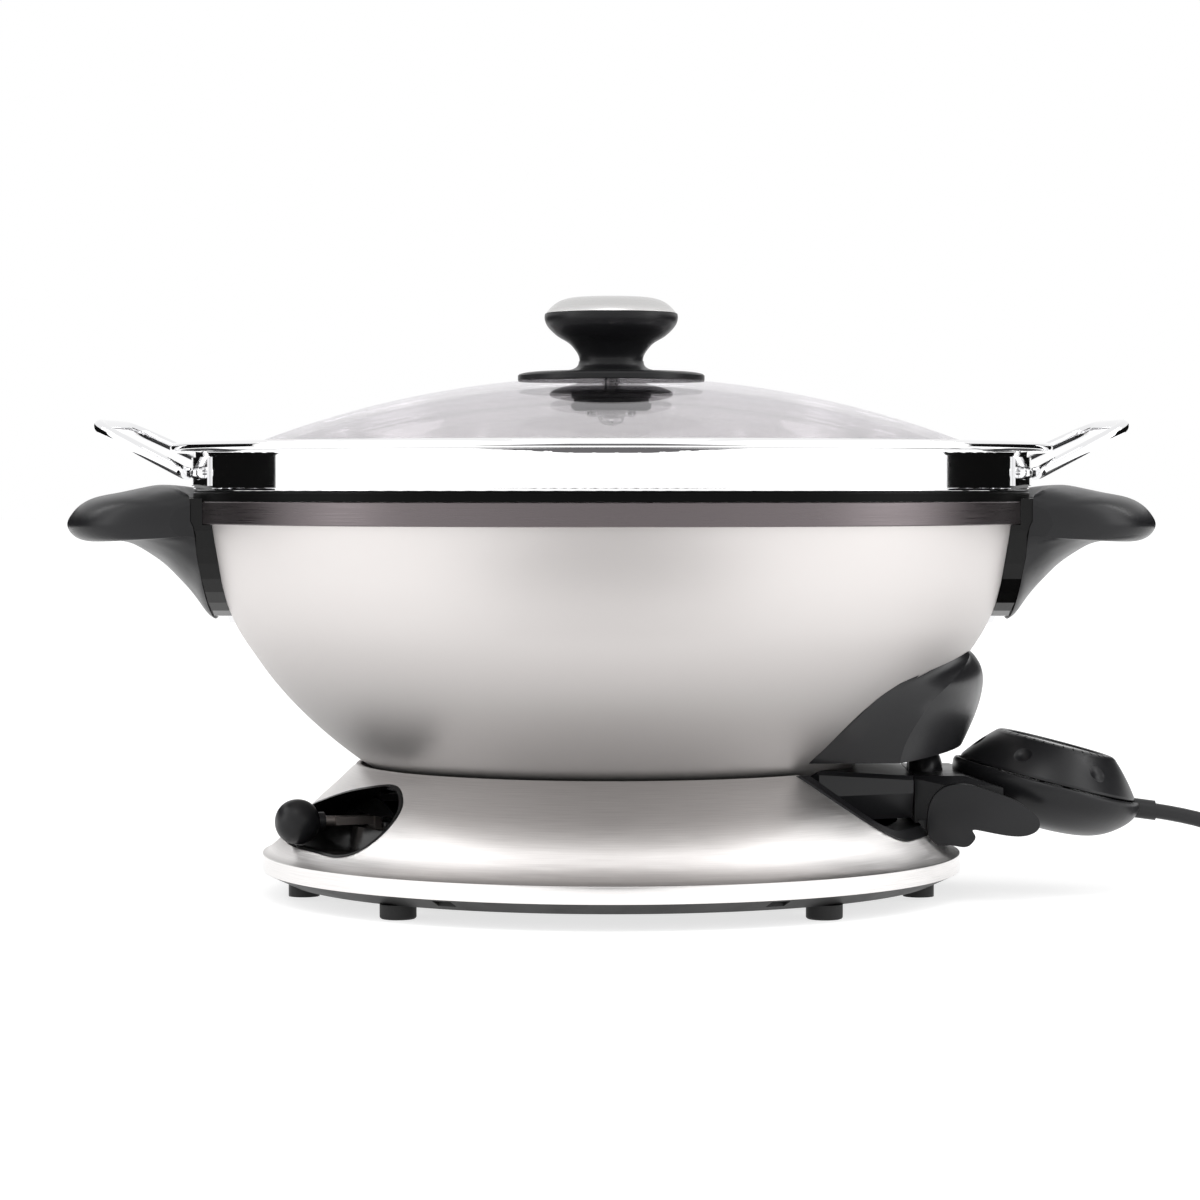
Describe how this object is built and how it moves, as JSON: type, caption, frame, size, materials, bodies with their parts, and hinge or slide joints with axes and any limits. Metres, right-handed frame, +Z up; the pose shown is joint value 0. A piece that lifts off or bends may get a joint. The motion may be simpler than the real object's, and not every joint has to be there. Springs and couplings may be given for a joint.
{
  "type": "electric wok",
  "caption": "Free-standing electric wok: conical steel base, deep round bowl with side handles, drop-in steamer tray, domed glass lid with knob, plug-in dial control and coiled cord.",
  "frame": {"origin": "on the table under the middle of the wok and base, at the centre of the part's footprint without its cord", "axes": "+X towards the dial control, -Y towards the picture's camera, +Z up"},
  "size_m": [0.6464, 0.4028, 0.2732],
  "materials": {
    "stainless_skin": "brushed around the cone, polished on the lower band",
    "mirror_steel": "mirror polished stainless",
    "bright_chrome": "bright plated",
    "cap_steel": "fine spun brushing",
    "rim_metal": "satin, grey-brown",
    "pearl_enamel": "cast aluminium, pearl silver enamel outside, black non-stick inside",
    "cast_alloy": "as cast",
    "pressed_steel": "plain pressed",
    "element_steel": "heat-darkened sheath",
    "pin_metal": "nickel plated",
    "probe_steel": "plain",
    "screw_steel": "plated",
    "brass_insert": "plain",
    "black_moulding": "fine satin",
    "phenolic": "satin phenolic",
    "gloss_black": "glossy",
    "plug_plastic": "satin",
    "thermostat_body": "plain",
    "foot_rubber": "plain",
    "cord_rubber": "satin",
    "seal_rubber": "silicone",
    "ceramic": "fired ceramic",
    "lens_clear": "clear indicator lens",
    "lid_glass": "tempered, slight grey tint"
  },
  "bodies": {
    "base": {"base_shell": "stainless_skin", "base_frame": "black_moulding", "bottom_cover": "black_moulding", "rubber_feet": "foot_rubber", "base_screws": "screw_steel", "release_recess": "black_moulding", "cutout_trim": "black_moulding", "ring_guides": "black_moulding"},
    "lock_ring": {"lock_ring": "pressed_steel", "lever_arm": "pressed_steel", "lever_screws": "screw_steel", "lever_knob": "black_moulding"},
    "wok": {"wok_bowl": "pearl_enamel", "rim_band": "rim_metal", "foot_ring": "black_moulding", "foot_screws": "screw_steel", "heating_element": "element_steel", "pin_insulators": "ceramic", "terminal_pins": "pin_metal", "probe_guide": "cast_alloy", "socket_housing": "phenolic", "connector_hood": "phenolic", "hood_screws": "screw_steel", "handle_left": "phenolic", "handle_right": "phenolic", "handle_liners": "gloss_black", "handle_brackets": "bright_chrome", "handle_bolts": "screw_steel"},
    "steamer": {"steamer_tray": "mirror_steel", "steamer_loops": "bright_chrome", "loop_brackets": "bright_chrome", "loop_rivets": "bright_chrome"},
    "lid": {"lid_glass": "lid_glass", "lid_band": "mirror_steel", "knob_flange": "black_moulding", "lid_knob": "black_moulding", "knob_cap": "cap_steel", "knob_insert": "brass_insert", "knob_seal": "seal_rubber", "inner_boss": "seal_rubber", "lock_nut": "bright_chrome", "lid_screw": "screw_steel"},
    "control": {"control_housing": "phenolic", "control_deck": "phenolic", "thermostat": "thermostat_body", "probe_rod": "probe_steel", "terminal_sleeves": "brass_insert", "indicator_lens": "lens_clear", "lever_pins": "screw_steel", "housing_screws": "screw_steel", "strain_relief": "cord_rubber", "cord": "cord_rubber", "cord_coil": "cord_rubber", "cord_tail": "cord_rubber", "plug_body": "plug_plastic", "plug_pins": "brass_insert"},
    "dial": {"dial": "phenolic", "dial_insert": "gloss_black", "dial_shaft": "screw_steel"},
    "eject_lever": {"eject_lever": "phenolic"}
  },
  "joints": [
    {"name": "release_turn", "type": "hinge", "parent": "base", "child": "lock_ring", "pos_m": [0, 0, 0.029], "axis": [0, 0, 1], "range_deg": [0, 16]},
    {"name": "wok_lift", "type": "slide", "parent": "base", "child": "wok", "axis": [0, 0, 1], "range_m": [0, 0.1]},
    {"name": "steamer_lift", "type": "slide", "parent": "wok", "child": "steamer", "axis": [0, 0, 1], "range_m": [0, 0.12]},
    {"name": "lid_lift", "type": "slide", "parent": "steamer", "child": "lid", "axis": [0, 0, 1], "range_m": [0, 0.08]},
    {"name": "probe_unplug", "type": "slide", "parent": "wok", "child": "control", "axis": [1, 0, 0], "range_m": [0, 0.09]},
    {"name": "dial_turn", "type": "hinge", "parent": "control", "child": "dial", "pos_m": [0.2009, 0, 0.0522], "axis": [0.2487, 0, 0.9686], "range_deg": [0, 300]},
    {"name": "eject_press", "type": "hinge", "parent": "control", "child": "eject_lever", "pos_m": [0.154, 0, 0.042], "axis": [0, 1, 0], "range_deg": [0, 9], "stiffness_Nm_per_rad": 0.05, "springref_deg": -17.19}
  ]
}
